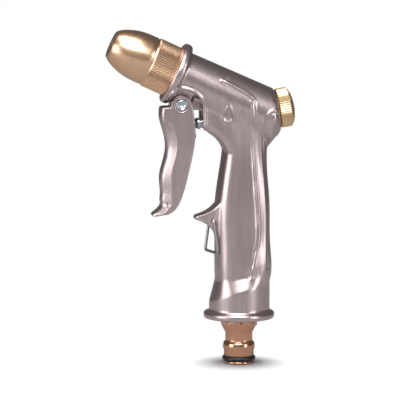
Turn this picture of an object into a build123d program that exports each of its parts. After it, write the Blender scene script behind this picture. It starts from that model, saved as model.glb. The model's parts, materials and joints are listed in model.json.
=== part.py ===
"""Hose spray nozzle: pistol-grip casting with trigger valve, twist nozzle, rear flow knob
and quick-connect inlet tail. Lengths in mm.

Row frame: +Z up, the spray leaves towards -X, Y across. The origin is on the inlet tail's
axis, in its bottom face. Every piece is built in the place it has on the closed, idle gun.
"""

import os
from math import copysign, cos, pi, radians, sin, sqrt

from build123d import *

# ---- overall sizes ----
BARREL_TILT = 25.0  # nozzle axis above the horizontal, degrees
VALVE_TILT = 10.0  # valve and knob axis, rising towards the rear, degrees
FLANGE_FACE = (-34.1, 0.0, 148.6)  # centre of the casting's front face, on the nozzle axis
REAR_FACE = (19.0, 0.0, 129.5)  # centre of the casting's rear face, on the valve axis

# ---- barrel and front flange ----
BARREL_R_FRONT = 12.6
BARREL_R_REAR = 14.1
BARREL_LENGTH = 68.0
FLANGE_R = 16.0
FLANGE_T = 4.6
FLANGE_EDGE = 1.5
RECESS_R = 13.4
RECESS_DEPTH = 2.2
BARREL_BORE_R = 4.4
BARREL_BORE_END = 32.2  # how far behind the front face the bore stops
TUBE_R = 7.0  # metal left round the bore where the barrel is open below
REAR_BOSS_R = 10.6

# ---- grip: height, front, rear, half width ----
GRIP = (
    (24.5, -13.6, 15.4, 13.2),
    (45.0, -12.1, 15.9, 12.9),
    (58.0, -12.3, 15.9, 12.4),
    (72.0, -12.5, 15.4, 11.8),
    (88.0, -11.6, 14.9, 11.2),
    (101.0, -9.6, 13.9, 10.6),
    (110.0, -8.4, 13.9, 10.5),
    (118.0, -7.6, 13.9, 11.0),
    (127.0, -7.2, 13.0, 12.6),
)
GRIP_SQUARENESS = 2.9
CORE = (
    (37.4, -6.6, 6.9, 6.6),
    (46.0, -7.6, 9.6, 7.9),
    (72.0, -7.9, 10.6, 7.6),
    (101.0, -4.4, 9.4, 6.6),
    (113.0, -0.4, 9.8, 6.0),
    (121.5, 0.8, 10.2, 5.6),
)
CORE_SQUARENESS = 2.3
RIDGE = 0.35  # height of the raised side band

# ---- foot of the grip ----
CUP_R = 15.4
CUP_X = 0.2
BASE_R = 18.0
BASE_BOTTOM = 23.3
BASE_TOP = 26.9
INLET_THREAD_R = 8.33
INLET_HOLE_TOP = 37.4

# ---- trigger pivot ----
PIVOT = (-29.9, 0.0, 132.1)
PIN_R = 2.0
PIN_HEAD_R = 3.05
LUG_R = 4.6
LUG_HALF = 4.5
RIB_HALF = 2.0
SIDE_GAP = 0.3  # between lug and trigger ear

# ---- trigger ----
TRIGGER_HALF = 7.2
TRIGGER_TOE_HALF = 6.5
TRIGGER_WALL = 2.4
EAR_R = 5.2
PAD_T = 2.2

# ---- valve stack, distances along the valve axis from the rear face ----
PAD_FACE = -43.0
PAD_GAP = 0.05
PLUNGER_R = 2.0
PLUNGER_TIP_R = 3.0
PLUNGER_END = -14.4
STUD_R = 1.5
GLAND_R = 4.05
GLAND_FRONT = -35.4
GLAND_WALL = -34.0
GLAND_REAR = -31.0
GLAND_STEP = -29.0
CHAMBER_R = 5.5
CHAMBER_FRONT = -28.0
SEAT_FRONT = -23.0
SEAT_FACE = -20.5
SEAT_R = 7.5
SEAT_HOLE_R = 3.8
REAR_CHAMBER_R = 7.6
DISC_R = 6.0
DISC_T = 2.5
WASHER_T = 0.8
NUT_FLATS = 6.6
NUT_T = 2.2
SPRING_R = 4.85
SPRING_WIRE_R = 0.4
SPRING_TURNS = 5
SPRING_SEAT_FRONT = -8.6
SPRING_SEAT_T = 1.0
BONNET_R = 8.5
BONNET_INNER = -7.0
GASKET_T = 1.0
SPINDLE_R = 3.0
SPINDLE_RING_AT = -3.6
KNOB_GAP = 0.5
KNOB_R = 10.0
KNOB_LENGTH = 6.0
KNOB_DOME = 2.2
KNOB_KNURLS = 56

# ---- outlet stem and twist nozzle, distances along the nozzle axis from the front face ----
STEM_THREAD_R = 5.2
STEM_REAR = -11.0
STEM_R = 8.0
STEM_SHOULDER = 11.0
STEM_NOSE_R = 6.0
STEM_NOSE_END = 24.6
STEM_BORE_R = 3.4
NOSE_WALL = 1.8
OUTLET_HOLE_AT = 21.3
OUTLET_HOLE_R = 1.1
NEEDLE_R = 1.9
NEEDLE_TIP = 32.3
NOZZLE_REAR = -1.3
KNURL_END = 12.5
NOZZLE_KNURL_R = 12.85
NOZZLE_R = 12.5
NOZZLE_KNURLS = 72
NOZZLE_END = 33.7
LAND_FRONT = 16.0
LAND_REAR = 12.3
NOZZLE_CHAMBER_R = 7.2
ORIFICE_R = 2.2
NOZZLE_RING_AT = 14.2

# ---- inlet tail, heights ----
TAIL_NOSE_R = 7.5
TAIL_R = 7.6
TAIL_LIP_R = 8.1
TAIL_NECK_R = 6.9
TAIL_BORE_R = 4.8
TAIL_RING_AT = 2.7
TAIL_RING_R = 7.25
TAIL_RING_SECTION = 1.25
NECK_BOTTOM = 11.4
NECK_TOP = 16.1
COLLAR_BOTTOM = 19.6
COLLAR_R = 9.6  # across the corners of the octagon
TAIL_TOP = 35.0

# ---- finger rest and trigger latch ----
FIN_TIP = (-22.9, 75.0)
FIN_NOSE_R = 1.2
LATCH_PIVOT = (-14.0, 0.0, 74.2)
LATCH_WIRE_R = 0.75
LATCH_HALF = 7.8
LATCH_LENGTH = 17.0
LATCH_BEND = 1.3
LATCH_END = 3.4  # how near the middle each bent-in end comes

# ---- clearances, radial ----
RUNNING = 0.06  # turning and sliding fits
SNUG = 0.03  # parts screwed or pressed together

BASE_ALIGN = (Align.CENTER, Align.CENTER, Align.MIN)
SPRAY_DIR = (-cos(radians(BARREL_TILT)), 0, sin(radians(BARREL_TILT)))
VALVE_DIR = (cos(radians(VALVE_TILT)), 0, sin(radians(VALVE_TILT)))
NOZZLE_AXIS = Plane(origin=FLANGE_FACE, x_dir=(0, 1, 0), z_dir=SPRAY_DIR).location
VALVE_AXIS = Plane(origin=REAR_FACE, x_dir=(0, 1, 0), z_dir=VALVE_DIR).location
UPRIGHT = Location((0, 0, 0))


def rod(place, radius, start, end):
    """Round bar along the local axis of place."""
    return place * Pos(0, 0, start) * Cylinder(radius, end - start, align=BASE_ALIGN)


def turned(place, outline):
    """Revolve a closed (radius, distance) outline about the local axis of place."""
    points = [(r, 0, z) for r, z in outline]
    return place * revolve(make_face(Polyline(*points, close=True)), Axis.Z)


def ring(place, outer, inner, start, end):
    """Flat ring along the local axis of place."""
    return rod(place, outer, start, end) - rod(place, inner, start - 1, end + 1)


def o_ring(place, middle_r, section_r, at):
    """Rubber ring of round section."""
    return place * Pos(0, 0, at) * Torus(middle_r, section_r)


def knurled(place, radius, depth, count, start, end):
    """Cylinder with straight axial knurling, a run of vee teeth."""
    points = []
    for k in range(2 * count):
        r = radius - depth * (k % 2)
        points.append((r * cos(pi * k / count), r * sin(pi * k / count)))
    face = make_face(Polyline(*points, close=True))
    return place * Pos(0, 0, start) * extrude(face, end - start)


def oval(front, rear, half, z, squareness, grow=0.0):
    """Level rounded-square section, as a smooth closed curve."""
    middle = (front + rear) / 2
    long = (rear - front) / 2 + grow
    wide = half + grow
    points = []
    for k in range(20):
        c = cos(2 * pi * k / 20)
        s = sin(2 * pi * k / 20)
        x = middle + long * copysign(abs(c) ** (2 / squareness), c)
        y = wide * copysign(abs(s) ** (2 / squareness), s)
        points.append((x, y, z))
    return make_face(Spline(*points, periodic=True))


def side_plate(edges, half):
    """Solid from an outline in the XZ plane, half its thickness each way in Y."""
    return extrude(make_face(edges), amount=half, dir=(0, 1, 0), both=True)


def xz(*pairs):
    """Points of the XZ plane."""
    return [(x, 0, z) for x, z in pairs]


def barrel(grow):
    """Tapered barrel, rounded off where it meets the rear face."""
    length = BARREL_LENGTH
    slope = (BARREL_R_REAR - BARREL_R_FRONT) / length
    cone = turned(
        NOZZLE_AXIS,
        [
            (0, -0.6),
            (BARREL_R_FRONT + grow, -0.6),
            (BARREL_R_FRONT + slope * length + grow, -length),
            (0, -length),
        ],
    )
    boss = REAR_BOSS_R
    envelope = make_face(
        Polyline((0, 0, -90), (0, 0, 0), (boss, 0, 0))
        + ThreePointArc((boss, 0, 0), (boss + 2.0, 0, -1.2), (boss + 3.4 + grow, 0, -3.2))
        + Polyline((boss + 3.4 + grow, 0, -3.2), (boss + 7.4 + grow, 0, -8.0), (60, 0, -30), (60, 0, -90))
        + Line((60, 0, -90), (0, 0, -90))
    )
    return cone & (VALVE_AXIS * revolve(envelope, Axis.Z))


def grip(grow):
    """Grip from the foot up into the barrel."""
    sections = []
    for z, front, rear, half in GRIP:
        sections.append(oval(front, rear, half, z, GRIP_SQUARENESS, grow))
    return loft(sections)


def chin(grow):
    """Housing of the valve below the barrel, curving down into the grip."""
    low = grow
    edges = (
        Line((-19.6, 0, 133.0), (-19.6, 0, 118.8 - low))
        + ThreePointArc((-19.6, 0, 118.8 - low), (-12.4, 0, 115.2 - low), (-8.0, 0, 108.6 - low))
        + Polyline((-8.0, 0, 108.6 - low), (4.0, 0, 108.6 - low), (4.0, 0, 133.0), (-19.6, 0, 133.0))
    )
    body = side_plate(edges, 9.6 + grow)
    lower = body.edges().filter_by(GeomType.CIRCLE)
    return fillet(lower, 3.6)


def foot(grow):
    """Round cup round the inlet, with a slanted shoulder up to the grip."""
    cup = Pos(CUP_X, 0, 0) * rod(UPRIGHT, CUP_R + grow, BASE_TOP - 1, 52)
    low_plane = Plane(origin=(CUP_X, 0, 39.6), x_dir=(1, 0, 0.44), z_dir=(-0.44, 0, 1))
    below = low_plane * Pos(0, 0, -40) * Box(90, 90, 40, align=BASE_ALIGN)
    cup = cup & below
    step = 7.0
    top = low_plane * Pos(1.3, 0, step) * Ellipse(15.4 + grow, 12.6 + grow)
    bottom = low_plane * Ellipse((CUP_R + grow) * sqrt(1 + 0.44**2), CUP_R + grow)
    return cup + loft([bottom, top], ruled=True)


def finger_rest():
    """Pointed rest under the middle finger, with the latch wire's cross hole."""
    tip_x, tip_z = FIN_TIP
    edges = (
        Line((-4.0, 0, 83.2), (-10.5, 0, 83.4))
        + ThreePointArc((-10.5, 0, 83.4), (-15.6, 0, 78.6), (tip_x + 0.9, 0, tip_z + FIN_NOSE_R))
        + ThreePointArc(
            (tip_x + 0.9, 0, tip_z + FIN_NOSE_R),
            (tip_x - 0.3, 0, tip_z),
            (tip_x + 0.9, 0, tip_z - FIN_NOSE_R),
        )
        + ThreePointArc((tip_x + 0.9, 0, tip_z - FIN_NOSE_R), (-16.2, 0, 71.0), (-12.0, 0, 65.4))
        + Polyline((-12.0, 0, 65.4), (-4.0, 0, 65.4), (-4.0, 0, 83.2))
    )
    blade = side_plate(edges, 12)
    plan = make_face(
        Polyline(
            (-3.0, 11.2, 60),
            (-8.0, 9.0, 60),
            (-13.6, 6.5, 60),
            (tip_x + 4.4, 5.4, 60),
            (tip_x + 1.0, 4.3, 60),
            (tip_x - 0.6, 2.4, 60),
            (tip_x - 0.6, -2.4, 60),
            (tip_x + 1.0, -4.3, 60),
            (tip_x + 4.4, -5.4, 60),
            (-13.6, -6.5, 60),
            (-8.0, -9.0, 60),
            (-3.0, -11.2, 60),
            close=True,
        )
    )
    return blade & extrude(plan, amount=30, dir=(0, 0, 1))


def side_band():
    """Strip between the two crease lines that run down each side of the grip."""
    outline = Polyline(
        *xz(
            (-9.9, 144.2),
            (3.9, 135.9),
            (5.4, 131.0),
            (5.6, 116.0),
            (6.6, 96.0),
            (8.0, 73.0),
            (6.4, 58.0),
            (4.6, 49.2),
            (12.4, 50.4),
            (13.0, 73.0),
            (11.8, 98.0),
            (10.2, 112.0),
            (10.4, 119.0),
            (12.4, 126.0),
            (15.6, 129.4),
            (17.6, 128.2),
            (15.5, 138.5),
            (8.0, 142.8),
            (-3.0, 148.0),
        ),
        close=True,
    )
    return side_plate(outline, 30)


def emblem():
    """Plain raised water-drop outline on each side of the barrel."""

    def drop(size):
        tip = (-6.9, 0, 127.6 + 6.6 * size)
        low = (-6.9, 0, 127.6 - 4.2 * size)
        left = (-6.9 - 3.3 * size, 0, 127.6 - 0.9 * size)
        right = (-6.9 + 3.3 * size, 0, 127.6 - 0.9 * size)
        return side_plate(
            Line(tip, left) + ThreePointArc(left, low, right) + Line(right, tip), 30
        )

    return drop(1.0) - drop(0.72)


def skin(grow):
    """Outside of the casting's barrel, chin and grip."""
    return barrel(grow) + grip(grow) + chin(grow)


def pivot_lug():
    """Lug that hangs from the barrel tube and carries the trigger pin."""
    px, _, pz = PIVOT
    web = side_plate(
        Polyline(
            *xz(
                (px - LUG_R, pz),
                (px - LUG_R + 0.6, pz + 6.5),
                (px - 1.0, pz + 15.0),
                (px + 9.0, pz + 11.0),
                (px + LUG_R, pz),
            ),
            close=True,
        ),
        LUG_HALF,
    )
    eye = Pos(*PIVOT) * Rot(90, 0, 0) * Cylinder(LUG_R, 2 * LUG_HALF)
    return web + eye


def opening_rib():
    """Thin rib that ties the lug to the valve housing, above the trigger's pad and plunger."""
    px, _, pz = PIVOT
    edges = Polyline(
        *xz(
            (px + 0.5, pz + 8.5),
            (px + 1.5, pz - 2.6),
            (px + 8.4, pz - 2.9),
            (px + 13.3, pz - 3.5),
            (px + 15.4, pz - 1.6),
            (px + 13.9, pz + 7.4),
        ),
        close=True,
    )
    return side_plate(edges, RIB_HALF)


def trigger_opening():
    """Arched opening below the barrel where the trigger's ears and plunger work."""
    arch = side_plate(
        Line((-32.2, 0, 141.6), (-28.6, 0, 140.1))
        + Spline(
            *xz(
                (-28.6, 140.1),
                (-24.2, 138.6),
                (-21.0, 135.8),
                (-19.6, 131.6),
                (-19.1, 126.6),
                (-19.2, 118.4),
            )
        )
        + Polyline(*xz((-19.2, 118.4), (-20.0, 110.0), (-46.0, 110.0), (-38.4, 128.3), (-32.2, 141.6))),
        30,
    )
    wall_low = VALVE_AXIS * Pos(0, 0, GLAND_WALL)
    pocket = side_plate(
        Polyline(
            *xz(
                (-32.2, 141.6),
                (-26.0, 142.6),
                (-17.6, 138.6),
                (-15.6, 130.0),
                (-14.0, 122.4),
                (-15.6, 118.6),
                (-16.4, 110.0),
                (-46.0, 110.0),
                (-38.4, 128.3),
            ),
            close=True,
        ),
        7.7,
    )
    behind_wall = wall_low * Pos(0, 0, 0) * Box(60, 60, 60, align=BASE_ALIGN)
    tube = rod(NOZZLE_AXIS, TUBE_R, -40, 0)
    return arch + (pocket - behind_wall) - tube - pivot_lug()


def water_ways():
    """Bores, chambers and thread holes inside the casting."""
    cuts = rod(NOZZLE_AXIS, BARREL_BORE_R, -BARREL_BORE_END, 1)
    cuts += rod(NOZZLE_AXIS, STEM_THREAD_R, STEM_REAR - 1.0, 1)
    cuts += rod(NOZZLE_AXIS, RECESS_R, -RECESS_DEPTH, 3)
    cuts += rod(VALVE_AXIS, GLAND_R, GLAND_WALL - 3, GLAND_STEP)
    cuts += rod(VALVE_AXIS, PLUNGER_R + 0.3, GLAND_STEP - 1, CHAMBER_FRONT + 1)
    cuts += rod(VALVE_AXIS, CHAMBER_R, CHAMBER_FRONT, SEAT_FRONT + 1)
    cuts += rod(VALVE_AXIS, SEAT_R, SEAT_FRONT, SEAT_FACE + 1)
    cuts += rod(VALVE_AXIS, REAR_CHAMBER_R, SEAT_FACE, BONNET_INNER)
    cuts += rod(VALVE_AXIS, BONNET_R, BONNET_INNER - GASKET_T, 1)
    port_at = (CHAMBER_FRONT + SEAT_FRONT) / 2
    cuts += VALVE_AXIS * Pos(0, 0, port_at) * Rot(0, 0, 90) * Rot(0, -90, 0) * Cylinder(
        2.4, 11.0, align=BASE_ALIGN
    )
    sections = []
    for z, front, rear, half in CORE:
        sections.append(oval(front, rear, half, z, CORE_SQUARENESS))
    cuts += loft(sections)
    cuts += rod(UPRIGHT, INLET_THREAD_R, BASE_BOTTOM - 1, INLET_HOLE_TOP)
    return cuts


def gun_body():
    """The casting: barrel, valve housing, grip, foot, front flange and finger rest."""
    flange = turned(
        NOZZLE_AXIS, [(0, 0), (FLANGE_R, 0), (FLANGE_R, -FLANGE_T), (0, -FLANGE_T)]
    )
    rims = flange.edges().filter_by(GeomType.CIRCLE)
    flange = fillet(rims, FLANGE_EDGE)
    base = turned(
        UPRIGHT,
        [(0, BASE_BOTTOM), (BASE_R, BASE_BOTTOM), (BASE_R, BASE_TOP), (0, BASE_TOP)],
    )
    base = fillet(base.edges().filter_by(GeomType.CIRCLE), 1.1)
    band = skin(RIDGE) & side_band()
    mark = skin(0.5) & emblem()
    body = skin(0.0) + band + mark
    body += foot(0.0)
    body += finger_rest()
    body -= trigger_opening()
    body += opening_rib()
    body += flange + base
    body -= water_ways()
    body -= Pos(*PIVOT) * Rot(90, 0, 0) * Cylinder(PIN_R + SNUG, 40)
    body -= Pos(*LATCH_PIVOT) * Rot(90, 0, 0) * Cylinder(LATCH_WIRE_R + RUNNING, 40)
    return body


def pivot_pin():
    """Rivet with dimpled ends, its heads turned over in the trigger's recesses."""
    head = TRIGGER_HALF - 0.5 + 0.05
    pin = turned(
        Pos(*PIVOT) * Rot(90, 0, 0),
        [
            (0, -head - 0.3),
            (1.1, -head - 0.5),
            (1.6, -head - 1.1),
            (PIN_HEAD_R - 0.4, -head - 1.1),
            (PIN_HEAD_R, -head - 0.6),
            (PIN_HEAD_R, -head),
            (PIN_R, -head),
            (PIN_R, head),
            (PIN_HEAD_R, head),
            (PIN_HEAD_R, head + 0.6),
            (PIN_HEAD_R - 0.4, head + 1.1),
            (1.6, head + 1.1),
            (1.1, head + 0.5),
            (0, head + 0.3),
        ],
    )
    return pin


def trigger_front():
    """Front edge of the trigger, top to toe."""
    return xz(
        (-40.0, 131.2),
        (-40.4, 126.0),
        (-38.4, 117.6),
        (-37.5, 110.0),
        (-39.4, 101.4),
        (-40.6, 94.6),
        (-40.1, 88.6),
        (-41.2, 81.4),
        (-43.4, 77.2),
    )


def trigger():
    """Channel-section lever with two ears on the pin and a pad behind for the plunger."""
    px, _, pz = PIVOT
    front = trigger_front()
    outline = (
        Spline(*front)
        + ThreePointArc(front[-1], (-43.2, 0, 76.1), (-42.2, 0, 75.9))
        + Spline(
            *xz(
                (-42.2, 75.9),
                (-38.3, 76.6),
                (-34.6, 78.2),
                (-32.0, 80.9),
                (-30.0, 85.0),
                (-25.9, 99.7),
                (-23.4, 112.0),
                (-22.9, 118.5),
                (-23.4, 126.0),
                (px + EAR_R, pz + 0.5),
            )
        )
        + ThreePointArc(
            (px + EAR_R, 0, pz + 0.5),
            (px + 0.2, 0, pz + EAR_R),
            (px - EAR_R, 0, pz - 0.9),
        )
        + Line((px - EAR_R, 0, pz - 0.9), front[0])
    )
    solid = side_plate(outline, TRIGGER_HALF)
    corner = solid.edges().filter_by(lambda e: abs(abs(e.center().Y) - TRIGGER_HALF) < 0.01)
    corner = corner.filter_by(lambda e: e.center().X < -38.0 and e.length > 20)
    solid = fillet(corner, 2.8)
    taper = make_face(
        Polyline(
            (-60, -TRIGGER_HALF, 140),
            (-60, TRIGGER_HALF, 140),
            (-60, TRIGGER_HALF, 112),
            (-60, TRIGGER_TOE_HALF, 70),
            (-60, -TRIGGER_TOE_HALF, 70),
            (-60, -TRIGGER_HALF, 112),
            close=True,
        )
    )
    solid &= extrude(taper, amount=60, dir=(1, 0, 0))
    inner = [(x + TRIGGER_WALL, y, z) for x, y, z in front[:-1]]
    inner[0] = (inner[0][0], 0, 140.0)
    hollow = side_plate(
        Spline(*inner)
        + Polyline(inner[-1], *xz((-34.0, 80.6), (-28.0, 78.0), (-10.0, 78.0), (-10.0, 140.0)), inner[0]),
        LUG_HALF + SIDE_GAP,
    )
    solid -= hollow
    pad = VALVE_AXIS * Pos(0, -1.2, PAD_FACE - PAD_T) * Box(
        2 * (LUG_HALF + SIDE_GAP) + 0.6, 10.6, PAD_T, align=BASE_ALIGN
    )
    solid += pad
    solid -= Pos(*PIVOT) * Rot(90, 0, 0) * Cylinder(PIN_R + RUNNING, 40)
    for side in (-1, 1):
        recess = Pos(px, side * (TRIGGER_HALF + 4.5), pz) * Rot(90, 0, 0) * Cylinder(PIN_HEAD_R + 0.3, 10)
        solid -= recess
    return solid


def valve_plunger():
    """Rod pushed by the trigger, with a collar and stud for the valve disc."""
    tip = PAD_FACE + PAD_GAP
    middle = tip + PLUNGER_TIP_R
    half = sqrt(0.5) * PLUNGER_TIP_R
    outline = (
        ThreePointArc((0, 0, tip), (half, 0, middle - half), (PLUNGER_TIP_R, 0, middle))
        + Polyline(
            (PLUNGER_TIP_R, 0, middle),
            (PLUNGER_R, 0, middle),
            (PLUNGER_R, 0, SEAT_FACE - 1.6),
            (SEAT_HOLE_R - 0.9, 0, SEAT_FACE - 1.0),
            (SEAT_HOLE_R - 0.9, 0, SEAT_FACE + 0.03),
            (STUD_R, 0, SEAT_FACE + 0.03),
            (STUD_R, 0, PLUNGER_END),
            (0, 0, PLUNGER_END),
            (0, 0, tip),
        )
    )
    return VALVE_AXIS * revolve(make_face(outline), Axis.Z)


def gland_nut():
    """Slotted nut that holds the plunger's seal ring."""
    nut = ring(VALVE_AXIS, GLAND_R - SNUG, PLUNGER_R + RUNNING, GLAND_FRONT, GLAND_REAR)
    slot = VALVE_AXIS * Pos(0, 0, GLAND_FRONT - 0.5) * Box(20, 1.2, 1.6, align=BASE_ALIGN)
    return nut - slot


def valve_seat():
    """Brass seat ring with a raised lip for the disc."""
    return turned(
        VALVE_AXIS,
        [
            (SEAT_HOLE_R, SEAT_FRONT),
            (SEAT_R - SNUG, SEAT_FRONT),
            (SEAT_R - SNUG, SEAT_FACE - 0.7),
            (SEAT_HOLE_R + 1.4, SEAT_FACE - 0.7),
            (SEAT_HOLE_R + 0.7, SEAT_FACE),
            (SEAT_HOLE_R, SEAT_FACE),
        ],
    )


def valve_spring():
    """Return spring between the disc washer and the spring seat."""
    start = SEAT_FACE + 0.03 + DISC_T + WASHER_T + SPRING_WIRE_R + 0.05
    end = SPRING_SEAT_FRONT - SPRING_WIRE_R - 0.05
    path = Helix((end - start) / SPRING_TURNS, end - start, SPRING_R)
    wire = sweep(Plane(origin=path @ 0, z_dir=path % 0) * Circle(SPRING_WIRE_R), path=path)
    return VALVE_AXIS * Pos(0, 0, start) * wire


def bonnet():
    """Screwed plug that closes the valve chamber and guides the spindle."""
    return turned(
        VALVE_AXIS,
        [
            (6.4, BONNET_INNER),
            (BONNET_R - SNUG, BONNET_INNER),
            (BONNET_R - SNUG, 0),
            (SPINDLE_R + RUNNING, 0),
            (SPINDLE_R + RUNNING, BONNET_INNER + 2.4),
            (6.4, BONNET_INNER + 2.4),
        ],
    )


def flow_spindle():
    """Threaded spindle that carries the knob and backs up the spring seat."""
    groove = 0.65
    return turned(
        VALVE_AXIS,
        [
            (0, SPRING_SEAT_FRONT + SPRING_SEAT_T + 0.05),
            (SPINDLE_R, SPRING_SEAT_FRONT + SPRING_SEAT_T + 0.05),
            (SPINDLE_R, SPINDLE_RING_AT - groove),
            (SPINDLE_R - 1.0, SPINDLE_RING_AT - groove),
            (SPINDLE_R - 1.0, SPINDLE_RING_AT + groove),
            (SPINDLE_R, SPINDLE_RING_AT + groove),
            (SPINDLE_R, KNOB_GAP + 4.0),
            (0, KNOB_GAP + 4.0),
        ],
    )


def flow_knob():
    """Knurled knob with a domed end."""
    top = KNOB_GAP + KNOB_LENGTH
    knob = knurled(VALVE_AXIS, KNOB_R, 0.4, KNOB_KNURLS, KNOB_GAP, top)
    edge = KNOB_R - 0.55
    rise = top + KNOB_DOME
    dome = make_face(
        Line((0, 0, top - 1.0), (edge, 0, top - 1.0))
        + Line((edge, 0, top - 1.0), (edge, 0, top))
        + Spline((edge, 0, top), (edge * 0.8, 0, top + 1.3), (edge * 0.42, 0, rise - 0.25), (0, 0, rise))
        + Line((0, 0, rise), (0, 0, top - 1.0))
    )
    knob += VALVE_AXIS * revolve(dome, Axis.Z)
    return knob - rod(VALVE_AXIS, SPINDLE_R + SNUG, KNOB_GAP - 1, KNOB_GAP + 4.0 + SNUG)


def outlet_stem():
    """Hollow threaded stem that the twist nozzle runs on."""
    stem = turned(
        NOZZLE_AXIS,
        [
            (0, STEM_REAR),
            (STEM_THREAD_R - SNUG, STEM_REAR),
            (STEM_THREAD_R - SNUG, -RECESS_DEPTH + GASKET_T),
            (STEM_R, -RECESS_DEPTH + GASKET_T),
            (STEM_R, 1.0),
            (STEM_R - 0.9, 1.4),
            (STEM_R - 0.9, 2.2),
            (STEM_R, 2.6),
            (STEM_R, STEM_SHOULDER - 0.6),
            (STEM_R - 0.6, STEM_SHOULDER),
            (STEM_NOSE_R, STEM_SHOULDER),
            (STEM_NOSE_R, STEM_NOSE_END - 0.8),
            (STEM_NOSE_R - 0.8, STEM_NOSE_END),
            (0, STEM_NOSE_END),
        ],
    )
    stem = stem - rod(NOZZLE_AXIS, STEM_BORE_R, STEM_REAR - 1, STEM_NOSE_END - NOSE_WALL)
    for turn in (0, 90):
        spot = NOZZLE_AXIS * Pos(0, 0, OUTLET_HOLE_AT) * Rot(0, 0, turn) * Rot(0, 90, 0)
        stem = stem - spot * Cylinder(OUTLET_HOLE_R, 18)
    return stem - rod(NOZZLE_AXIS, STUD_R + SNUG, STEM_NOSE_END - 3, STEM_NOSE_END + 1)


def spray_needle():
    """Pointed pin in the stem's nose that shapes the spray in the orifice."""
    return turned(
        NOZZLE_AXIS,
        [
            (0, STEM_NOSE_END - NOSE_WALL),
            (STUD_R, STEM_NOSE_END - NOSE_WALL),
            (STUD_R, STEM_NOSE_END),
            (NEEDLE_R + 0.7, STEM_NOSE_END),
            (NEEDLE_R + 0.7, STEM_NOSE_END + 1.0),
            (NEEDLE_R, STEM_NOSE_END + 1.4),
            (NEEDLE_R, STEM_NOSE_END + 4.2),
            (0.8, NEEDLE_TIP),
            (0, NEEDLE_TIP),
        ],
    )


def twist_nozzle():
    """Turned brass nozzle: knurled grip, round shoulder, narrow orifice."""
    sleeve = knurled(NOZZLE_AXIS, NOZZLE_KNURL_R, 0.4, NOZZLE_KNURLS, NOZZLE_REAR, KNURL_END)
    nose = make_face(
        Polyline((0, 0, KNURL_END - 2), (NOZZLE_R - 0.3, 0, KNURL_END - 2), (NOZZLE_R, 0, KNURL_END))
        + Line((NOZZLE_R, 0, KNURL_END), (NOZZLE_R, 0, KNURL_END + 4.2))
        + Spline(
            (NOZZLE_R, 0, KNURL_END + 4.2),
            (12.1, 0, KNURL_END + 9.2),
            (10.9, 0, KNURL_END + 13.6),
            (9.2, 0, KNURL_END + 17.6),
            (6.7, 0, NOZZLE_END),
            tangents=[(0, 0, 1), (-0.7, 0, 0.7)],
        )
        + Polyline((6.7, 0, NOZZLE_END), (0, 0, NOZZLE_END), (0, 0, KNURL_END - 2))
    )
    solid = sleeve + NOZZLE_AXIS * revolve(nose, Axis.Z)
    bore = turned(
        NOZZLE_AXIS,
        [
            (0, NOZZLE_REAR - 1),
            (STEM_R + RUNNING, NOZZLE_REAR - 1),
            (STEM_R + RUNNING, LAND_REAR),
            (STEM_NOSE_R + RUNNING, LAND_REAR),
            (STEM_NOSE_R + RUNNING, NOZZLE_RING_AT - 1.1),
            (STEM_NOSE_R + 1.9, NOZZLE_RING_AT - 1.1),
            (STEM_NOSE_R + 1.9, NOZZLE_RING_AT + 1.1),
            (STEM_NOSE_R + RUNNING, NOZZLE_RING_AT + 1.1),
            (STEM_NOSE_R + RUNNING, LAND_FRONT),
            (NOZZLE_CHAMBER_R, LAND_FRONT),
            (NOZZLE_CHAMBER_R, 26.0),
            (ORIFICE_R, 30.5),
            (ORIFICE_R, 32.2),
            (4.5, NOZZLE_END),
            (4.5, NOZZLE_END + 1),
            (0, NOZZLE_END + 1),
        ],
    )
    return solid - bore


def inlet_tail():
    """Plug for a quick-connect hose socket, with an octagonal collar and a threaded top."""
    groove = TAIL_RING_R - TAIL_RING_SECTION - 0.05
    tail = turned(
        UPRIGHT,
        [
            (TAIL_BORE_R, 0),
            (TAIL_NOSE_R - 0.5, 0),
            (TAIL_NOSE_R, 0.5),
            (TAIL_NOSE_R, TAIL_RING_AT - 1.35),
            (groove, TAIL_RING_AT - 1.35),
            (groove, TAIL_RING_AT + 1.35),
            (TAIL_R, TAIL_RING_AT + 1.35),
            (TAIL_R, 7.4),
            (TAIL_LIP_R, 8.0),
            (TAIL_LIP_R, 9.4),
            (TAIL_LIP_R - 0.3, NECK_BOTTOM - 0.5),
            (TAIL_NECK_R, NECK_BOTTOM),
            (TAIL_NECK_R, NECK_TOP),
            (COLLAR_R - 0.7, COLLAR_BOTTOM),
            (COLLAR_R - 0.7, BASE_BOTTOM),
            (INLET_THREAD_R - 0.6, BASE_BOTTOM),
            (INLET_THREAD_R - 0.6, BASE_BOTTOM + 1.2),
            (INLET_THREAD_R - SNUG, BASE_BOTTOM + 1.8),
            (INLET_THREAD_R - SNUG, TAIL_TOP - 0.6),
            (INLET_THREAD_R - 0.6, TAIL_TOP),
            (TAIL_BORE_R, TAIL_TOP),
        ],
    )
    flats = extrude(RegularPolygon(COLLAR_R, 8), BASE_BOTTOM - COLLAR_BOTTOM)
    flats = Pos(0, 0, COLLAR_BOTTOM) * Rot(0, 0, 22.5) * flats
    flats &= turned(
        UPRIGHT,
        [
            (0, COLLAR_BOTTOM),
            (COLLAR_R - 0.5, COLLAR_BOTTOM),
            (COLLAR_R, COLLAR_BOTTOM + 0.5),
            (COLLAR_R, BASE_BOTTOM - 0.5),
            (COLLAR_R - 0.5, BASE_BOTTOM),
            (0, BASE_BOTTOM),
        ],
    )
    return tail + flats - rod(UPRIGHT, TAIL_BORE_R, -1, TAIL_TOP + 1)


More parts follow.
